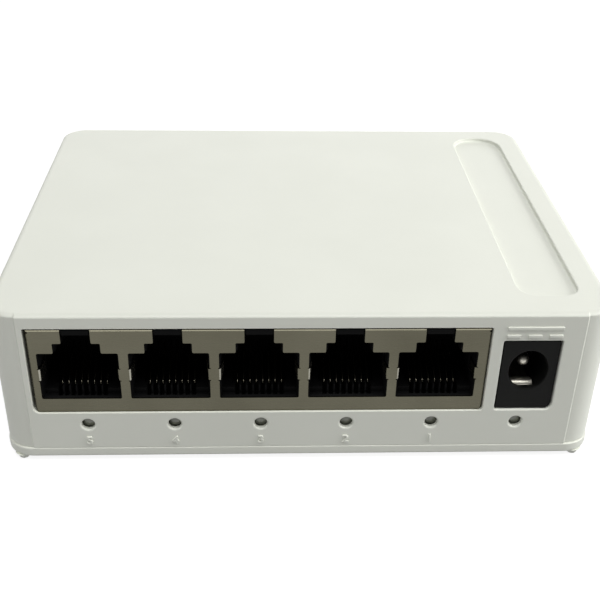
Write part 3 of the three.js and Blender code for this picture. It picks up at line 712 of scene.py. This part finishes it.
def port_housing(port):
    x = PORT_X[port]
    body = block(f"port_{port}_insert", (x - INSERT["half"], HOUSING_FRONT, INSERT["bottom"]),
                 (x + INSERT["half"], INSERT["rear"], INSERT["top"]))
    combine(body, [cavity_cutter(x)])
    combine(body, cavity_fills(x), "UNION")
    slot, pocket = WIRE_SLOT, TONGUE_POCKET
    slots = [block("slot", (wire_x(x, i) - slot["half"], SILL["front"] - slot["past"], slot["bottom"]),
                   (wire_x(x, i) + slot["half"], SILL["rear"] + slot["past"], slot["top"]))
             for i in range(WIRES["count"])]
    pockets = both_sides("tongue_pocket", x, pocket["inner"], pocket["outer"], HOUSING_FRONT - OVERCUT,
                         FACE_Y + pocket["rear"], pocket["bottom"], pocket["top"])
    combine(body, slots + pockets)
    ribs = []
    for i in range(WIRES["count"] - 1):
        middle = wire_x(x, i + 0.5)
        rib = block("rib", (middle - COMB["half_width"], COMB["front"], COMB["bottom"]),
                    (middle + COMB["half_width"], COMB["rear"], COMB["top"]))
        ribs.append(bevel(rib, 0.1, 3))
    bevel(body, 0.07, 2, 50)
    whole = merge_objects(f"port_{port}_insert", [body] + ribs)
    return complete(whole, "root", BLACK, "black_plastic", f"port_{port}_housing")


def object_from_curve(curve):
    source = new_object(curve.name, curve)
    mesh = bpy.data.meshes.new_from_object(source.evaluated_get(bpy.context.evaluated_depsgraph_get()))
    bpy.data.objects.remove(source)
    return new_object(curve.name, mesh)


def round_wires(name, lines, radius):
    """Round wires along smooth lines, one spline for each."""
    curve = bpy.data.curves.new(name, "CURVE")
    curve.dimensions = "3D"
    curve.bevel_depth = radius
    curve.bevel_resolution = 3
    curve.use_fill_caps = True
    for line in lines:
        spline = curve.splines.new("BEZIER")
        spline.resolution_u = 8
        spline.bezier_points.add(len(line) - 1)
        for point, place in zip(spline.bezier_points, line):
            point.co = place
            point.handle_left_type = point.handle_right_type = "AUTO"
    return object_from_curve(curve)


def port_wires(port):
    y, z = WIRES["pivot_y"], WIRES["pivot_z"]
    lines = [[(wire_x(PORT_X[port], i), y + back, z + up) for back, up in WIRE_PATH]
             for i in range(WIRES["count"])]
    wires = round_wires(f"port_{port}_spring_wires", lines, WIRES["radius"])
    body = f"port_{port}_contacts"
    return complete(wires, body, GOLD, "gold_contacts", body, smooth_angle=60)


# ------------------------------------------------------------------ power inlet

DC_CORNERS = (0.3, 1.0, 0.3, 0.3)
DC_EDGE = 0.15
DC_BORE = dict(z=17.38, radius=3.12, stretch=1.17, rim=0.22, wide_to=-30.0,
               inner_radius=2.9, inner_from=-29.8, rear=-26.5)
DC_PIN = dict(z=17.0, radius=1.0, tip_depth=0.9, clearance=0.05, hole_from=-27.0)
DC_TAB = dict(half=1.3, thick=0.4, above=1.3)
LEAF = dict(left=-2.6, right=1.25, thickness=0.3)
LEAF_PATH = ((-36.5, 13.92), (-36.4, 14.15), (-36.05, 14.4), (-35.5, 14.45), (-34.8, 14.1), (-33.0, 13.4),
             (-25.6, 13.85))
LEAF_SLOT = dict(side=0.3, front=0.8, rear=-24.6, bottom=12.2, top=15.2)


def lathe(name, profile, centre_x, centre_z, steps=40, stretch=1.0):
    """A round part along Y from pairs (radius, y), its height stretched."""
    rings = []
    for radius, y in profile:
        ring = [(centre_x + radius * math.cos(2 * math.pi * i / steps), y,
                 centre_z + radius * stretch * math.sin(2 * math.pi * i / steps)) for i in range(steps)]
        rings.append(ring)
    return loft(name, rings)


def along_y(outline, y):
    return [(x, y, z) for x, z in outline]


def dc_body():
    outline = grown(DC_LOW.x, DC_HIGH.x, DC_LOW.z - DC_SKIRT["drop"], DC_HIGH.z, DC_CORNERS)
    behind = grown(DC_LOW.x, DC_HIGH.x, DC_LOW.z, DC_HIGH.z, DC_CORNERS)
    skirt = DC_LOW.y + DC_SKIRT["depth"]
    rings = [along_y(outline(-inset), DC_LOW.y + drop) for inset, drop in reversed(quarter(DC_EDGE, 4))]
    rings += [along_y(outline(0), skirt), along_y(behind(0), skirt + DC_SKIRT["step"]),
              along_y(behind(0), DC_HIGH.y)]
    body = loft("power_inlet_body", rings)
    rim, radius = DC_BORE["rim"], DC_BORE["radius"]
    profile = [(radius + rim, DC_LOW.y - OVERCUT), (radius + rim, DC_LOW.y)]
    for sine, cosine in quarter_turn(5, 1):
        profile.append((radius + rim * (1 - sine), DC_LOW.y + rim * (1 - cosine)))
    inner = DC_BORE["inner_radius"]
    profile += [(radius, DC_BORE["wide_to"]), (inner, DC_BORE["inner_from"]), (inner, DC_BORE["rear"])]
    bore = lathe("bore", profile, DC_X, DC_BORE["z"], 64, DC_BORE["stretch"])
    hole = DC_PIN["radius"] + DC_PIN["clearance"]
    hole_profile = [(hole, DC_PIN["hole_from"]), (hole, DC_HIGH.y + OVERCUT)]
    pin_hole = lathe("pin_hole", hole_profile, DC_X, DC_PIN["z"])
    slot_left = DC_X + LEAF["left"] - LEAF_SLOT["side"]
    slot_right = DC_X + LEAF["right"] + LEAF_SLOT["side"]
    slot = block("leaf_slot", (slot_left, DC_LOW.y + LEAF_SLOT["front"], LEAF_SLOT["bottom"]),
                 (slot_right, LEAF_SLOT["rear"], LEAF_SLOT["top"]))
    combine(body, [bore, pin_hole, slot])
    return complete(body, "root", CHARCOAL, "black_plastic", "dc_jack_body")


def dc_pin():
    tip, radius = PIN_LOW.y, DC_PIN["radius"]
    profile = [(0.02, tip)]
    for sine, cosine in quarter_turn(8, 1):
        profile.append((radius * sine, tip + DC_PIN["tip_depth"] * (1 - cosine)))
    profile += [(radius, DC_HIGH.y + 0.1), (radius, PIN_HIGH.y)]
    pin = lathe("power_inlet_pin", profile, DC_X, DC_PIN["z"], 32)
    tab = block("tab", (DC_X - DC_TAB["half"], PIN_HIGH.y - DC_TAB["thick"], PIN_LOW.z),
                (DC_X + DC_TAB["half"], PIN_HIGH.y, DC_PIN["z"] + DC_TAB["above"]))
    whole = merge_objects("power_inlet_pin", [pin, bevel(tab, 0.08)])
    return complete(whole, "root", BRIGHT_METAL, "nickel_plate", "dc_jack_pin")


def smooth_path(points, steps=6):
    """A Catmull-Rom curve through pairs, both ends included."""
    def between(a, b, c, d, t):
        square, cube = 2 * a - 5 * b + 4 * c - d, 3 * b - a - 3 * c + d
        return 0.5 * (2 * b + (c - a) * t + square * t * t + cube * t ** 3)

    padded = [points[0], *points, points[-1]]
    path = []
    for span in zip(padded, padded[1:], padded[2:], padded[3:]):
        path += [tuple(between(*values, k / steps) for values in zip(*span)) for k in range(steps)]
    path.append(tuple(points[-1]))
    return path


def strip_sides(path, thickness):
    """The closed outline of a bent strip of even thickness along a path of pairs."""
    upper, lower = [], []
    for i, point in enumerate(path):
        along = (Vector(path[min(i + 1, len(path) - 1)]) - Vector(path[max(i - 1, 0)])).normalized()
        side = Vector((-along.y, along.x)) * thickness / 2
        upper.append(tuple(Vector(point) + side))
        lower.append(tuple(Vector(point) - side))
    return upper + lower[::-1]


def dc_leaf():
    outline = strip_sides(smooth_path(LEAF_PATH), LEAF["thickness"])
    rings = [[(x, y, z) for y, z in outline] for x in (DC_X + LEAF["left"], DC_X + LEAF["right"])]
    leaf = bevel(loft("power_inlet_leaf", rings), 0.06, 2, 50)
    return complete(leaf, "dc_jack_spring", BRIGHT_METAL, "nickel_plate", "dc_jack_spring")


# ------------------------------------------------------------------ lights, numbers and mark

LED = dict(half=1.5, front=-34.9, rear=-33.6, height=1.2, gap=0.05)
LIGHT_GUIDE = dict(radius=1.3, below=0.45, tip=1.05, dome=0.25, rear=-34.7)
MARK_HEIGHT = 0.2
NUMBER = dict(size=2.0, z=4.15, bevel=0.1)
INLET_MARK = dict(width=8.8, thick=0.62, middle=24.8, apart=0.72, sunk=0.2, bevel=0.14)


def led(name, x):
    """A light under the board, and the light guide that stands in the cover's pocket in front of it."""
    top = BOARD_UNDERSIDE - LED["gap"]
    package = block(name, (x - LED["half"], LED["front"], top - LED["height"]),
                    (x + LED["half"], LED["rear"], top))
    radius, tip = LIGHT_GUIDE["radius"], FRONT_Y + LIGHT_GUIDE["tip"]
    dome = [(0.02, tip)]
    for sine, cosine in quarter_turn(5, 1):
        dome.append((radius * sine, tip + LIGHT_GUIDE["dome"] * (1 - cosine)))
    dome.append((radius, LIGHT_GUIDE["rear"]))
    guide = lathe("light_guide", dome, x, LED_Z - LIGHT_GUIDE["below"], 32)
    whole = merge_objects(f"{name}_visual", [bevel(package, 0.08), guide])
    return complete(whole, "root", LED_LENS, "led_lens", name)


def port_number(port):
    """A small raised digit under the light of its port."""
    curve = bpy.data.curves.new(f"port_number_{port}", "FONT")
    curve.body = str(port)
    curve.size = NUMBER["size"]
    curve.align_x = "CENTER"
    curve.align_y = "CENTER"
    curve.extrude = MARK_HEIGHT - NUMBER["bevel"]
    curve.bevel_depth = NUMBER["bevel"]
    curve.bevel_resolution = 2
    digit = object_from_curve(curve)
    place = Matrix.Translation((LED_X[f"link_led_{port}"], FRONT_Y, NUMBER["z"]))
    digit.data.transform(place @ Matrix.Rotation(math.pi / 2, 4, "X"))
    return complete(digit, "root", CASE_WHITE, "case_plastic")


def inlet_mark():
    """A raised direct-current symbol over the power inlet: one long bar above three short ones."""
    width, thick, middle = (INLET_MARK[key] for key in ("width", "thick", "middle"))
    dash = width / 4
    gap = (width - 3 * dash) / 2
    bars = [(-width / 2, width / 2, middle + INLET_MARK["apart"])]
    for start in (-width / 2 + i * (dash + gap) for i in range(3)):
        bars.append((start, start + dash, middle - INLET_MARK["apart"]))
    solids = []
    for x0, x1, z in bars:
        low = (DC_X + x0, FRONT_Y - MARK_HEIGHT, z - thick / 2)
        high = (DC_X + x1, FRONT_Y + INLET_MARK["sunk"], z + thick / 2)
        solids.append(bevel(block("bar", low, high), INLET_MARK["bevel"], 4))
    return complete(merge_objects("inlet_dc_symbol", solids), "root", CASE_WHITE, "case_plastic")


shield = jack_shield()
for port in PORTS:
    port_housing(port)
    port_wires(port)
    port_number(port)
dc_body()
dc_pin()
dc_leaf()
for led_name, led_x in LED_X.items():
    led(led_name, led_x)
inlet_mark()

# ------------------------------------------------------------------ CAD nodes that keep their own shape

KEPT = {
    BOARD_GREEN: ("circuit_board",),
    CHIP_EPOXY: ("switch_chip", "inductor", "regulator_chip", "input_diode",
                 *(f"transformer_{port}" for port in PORTS)),
    SCREW_STEEL: ("crystal", "board_screw_left", "board_screw_right", "case_screw_left", "case_screw_right"),
    CAN_ALUMINIUM: ("capacitor_in", "capacitor_out"),
}
for material, names in KEPT.items():
    for name in names:
        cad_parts[name].material_slots[0].material = material

# ------------------------------------------------------------------ floor, light and camera

STAGE_GREY = (0.24, 0.26)
FLOOR = dict(half=3.0, glow=0.85)
BACKDROP = dict(radius=2.8, glow=0.9)
WORLD_STRENGTH = 0.18
LIGHTS = {
    "key": dict(place=(0.02, -0.26, 0.94), target=(0, 0, 0.01), size=(1.0, 0.45), power=6.4),
    "low_front": dict(place=(-0.35, -0.52, -0.12), target=(0, -0.04, 0.012), size=(0.9, 0.25), power=0.63),
    "rear_fill": dict(place=(0.0, 1.00, 0.25), target=(0, 0, 0.01), size=(1.2, 0.3), power=3.4),
    "right_side": dict(place=(0.45, -0.09, 0.19), target=(0.03, -0.03, 0.01), size=(0.25, 0.2), power=1.5),
}
SHIELD_CARD = dict(place=(0.0, -0.52, 0.32), target=(0, -0.03, 0.02), size=(1.0, 0.6), power=7.0)
CAMERA = dict(place=(-6.63, -160.22, 105.37), yaw=2.72, pitch=31.34, roll=1.28, lens=57.77, sensor=36)


def set_stage(obj, glow):
    """The floor and the backdrop show white, throw no diffuse light on the object and cast no shadow."""
    dark, light = ((grey,) * 3 for grey in STAGE_GREY)
    white = surface(f"{obj.name}_white", dark, light, (0.7, 0.8), patch=2, grain=200,
                    Emission_Strength=glow, Emission_Color=(1, 1, 1, 1))
    obj.data.materials.append(white)
    obj.visible_diffuse = False
    obj.visible_shadow = False


def floor():
    bm = bmesh.new()
    bmesh.ops.create_grid(bm, x_segments=1, y_segments=1, size=FLOOR["half"])
    set_stage(object_from_bmesh("floor", bm), FLOOR["glow"])


def backdrop():
    bm = bmesh.new()
    bmesh.ops.create_icosphere(bm, subdivisions=4, radius=BACKDROP["radius"])
    bmesh.ops.reverse_faces(bm, faces=bm.faces)
    mesh = bpy.data.meshes.new("backdrop")
    bm.to_mesh(mesh)
    bm.free()
    obj = new_object("backdrop", mesh)
    obj.visible_glossy = False
    set_stage(obj, BACKDROP["glow"])


def area_light(name, place, target, size, power):
    data = bpy.data.lights.new(name, "AREA")
    data.shape = "RECTANGLE"
    data.size, data.size_y = size
    data.energy = power
    obj = new_object(name, data)
    obj.location = place
    obj.rotation_euler = (Vector(target) - Vector(place)).to_track_quat("-Z", "Y").to_euler()
    return obj


def studio(shield):
    """The world, the lights, and a card that lights only the shield."""
    world = bpy.data.worlds.new("studio")
    bpy.context.scene.world = world
    world.use_nodes = True
    background = world.node_tree.nodes["Background"]
    background.inputs["Color"].default_value = (1.0, 1.0, 1.0, 1)
    background.inputs["Strength"].default_value = WORLD_STRENGTH
    for name, values in LIGHTS.items():
        area_light(name, **values)
    lit = bpy.data.collections.new("shield_card_receivers")
    lit.objects.link(shield)
    area_light("shield_card", **SHIELD_CARD).light_linking.receiver_collection = lit


def camera():
    yaw, pitch, roll = (math.radians(CAMERA[key]) for key in ("yaw", "pitch", "roll"))
    forward = Vector((math.sin(yaw) * math.cos(pitch), math.cos(yaw) * math.cos(pitch), -math.sin(pitch)))
    level = Vector((math.cos(yaw), -math.sin(yaw), 0))
    upright = level.cross(forward)
    right = math.cos(roll) * level + math.sin(roll) * upright
    up = -math.sin(roll) * level + math.cos(roll) * upright
    data = bpy.data.cameras.new("camera")
    data.sensor_width = CAMERA["sensor"]
    data.lens = CAMERA["lens"]
    data.clip_start = 0.01
    obj = new_object("camera", data)
    place = Vector(CAMERA["place"]) * MM
    obj.matrix_world = Matrix.Translation(place) @ Matrix((right, up, -forward)).transposed().to_4x4()
    bpy.context.scene.camera = obj


floor()
backdrop()
studio(shield)
camera()
bpy.context.scene.view_settings.view_transform = "Standard"
